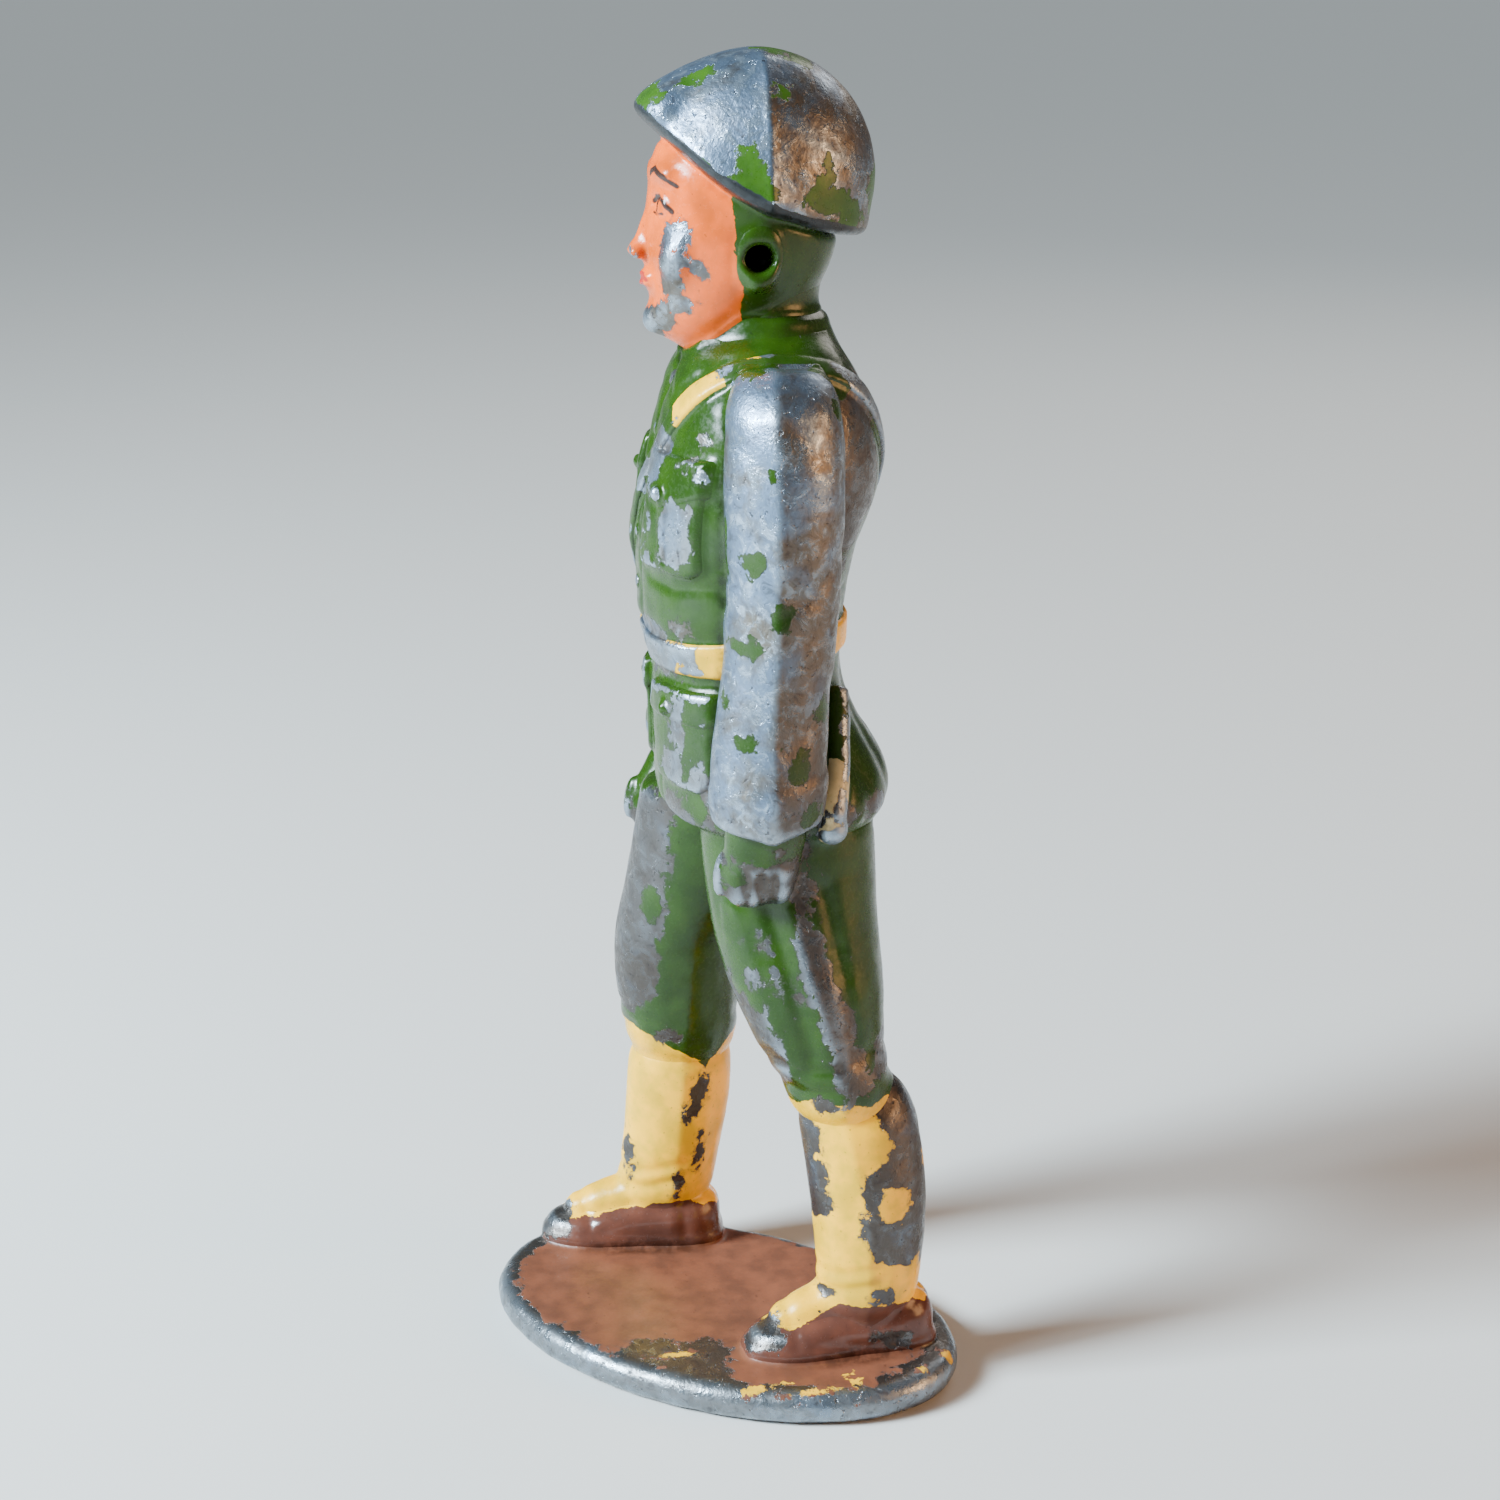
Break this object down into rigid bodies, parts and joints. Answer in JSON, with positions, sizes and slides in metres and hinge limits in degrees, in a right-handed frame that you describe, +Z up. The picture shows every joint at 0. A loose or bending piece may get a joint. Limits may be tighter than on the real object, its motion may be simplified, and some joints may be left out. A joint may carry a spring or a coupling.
{
  "type": "painted toy soldier figure",
  "caption": "Painted cast-metal toy soldier in a helmet, tunic, breeches and leggings, walking on an oval base.",
  "frame": {"origin": "middle of the base's flat underside", "axes": "+Z up through the helmet, -Y the way the figure faces, +X its left side"},
  "size_m": [0.0265, 0.0278, 0.0789],
  "materials": {
    "base_brown": "gloss enamel, worn to bare lead round the rim",
    "shoe_brown": "gloss enamel with a bare toe cap",
    "legging_yellow": "gloss enamel, flaked",
    "strap_yellow": "gloss enamel, mostly worn off",
    "uniform_green": "gloss enamel, flaked to bare lead",
    "helmet_green": "gloss enamel, nearly all worn to bare lead",
    "flesh": "gloss enamel, chipped",
    "bare_lead": "bare oxidised casting alloy"
  },
  "bodies": {
    "root": {"base_plate": "base_brown", "bayonet_scabbard": "bare_lead", "belt_buckle": "bare_lead", "coat_buttons": "uniform_green", "collar": "uniform_green", "head": "flesh", "helmet": "helmet_green", "left_breast_flap": "uniform_green", "left_breast_pocket": "uniform_green", "left_breeches": "uniform_green", "left_ear": "uniform_green", "left_hand": "uniform_green", "left_hip_flap": "uniform_green", "left_hip_pocket": "uniform_green", "left_legging": "legging_yellow", "left_shoe": "shoe_brown", "left_sleeve": "uniform_green", "neck": "uniform_green", "right_breast_flap": "uniform_green", "right_breast_pocket": "uniform_green", "right_breeches": "uniform_green", "right_ear": "uniform_green", "right_hand": "uniform_green", "right_hip_flap": "uniform_green", "right_hip_pocket": "uniform_green", "right_legging": "legging_yellow", "right_shoe": "shoe_brown", "right_sleeve": "uniform_green", "shoulder_strap": "strap_yellow", "tunic_body": "uniform_green", "tunic_skirt": "uniform_green", "waist_belt": "strap_yellow"}
  },
  "joints": []
}
